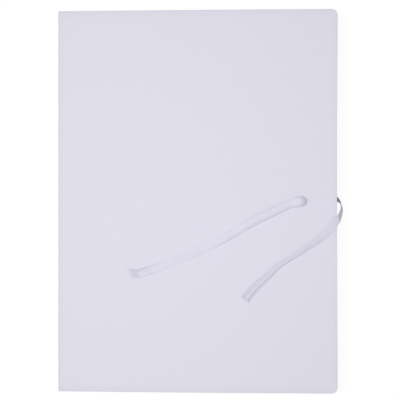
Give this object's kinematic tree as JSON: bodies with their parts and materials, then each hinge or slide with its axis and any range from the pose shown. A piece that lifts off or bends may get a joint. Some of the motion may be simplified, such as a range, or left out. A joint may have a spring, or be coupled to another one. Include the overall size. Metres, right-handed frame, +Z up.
{
  "type": "tie-closure file folder",
  "caption": "White card folder for A4 sheets, a creased sheet with inner flaps, tied shut by flat woven tapes at its free edge",
  "frame": {"origin": "bottom centre of the folded card's box, where the folder lies on a table", "axes": "+X from the spine to the free edge, +Y along the folder to its head, +Z up through its thickness"},
  "size_m": [0.2399, 0.32, 0.0214],
  "materials": {
    "white_card": "matte",
    "white_tape": "matte"
  },
  "bodies": {
    "root": {"folder_card": "white_card", "front_tie": "white_tape", "back_tie": "white_tape"}
  },
  "joints": []
}
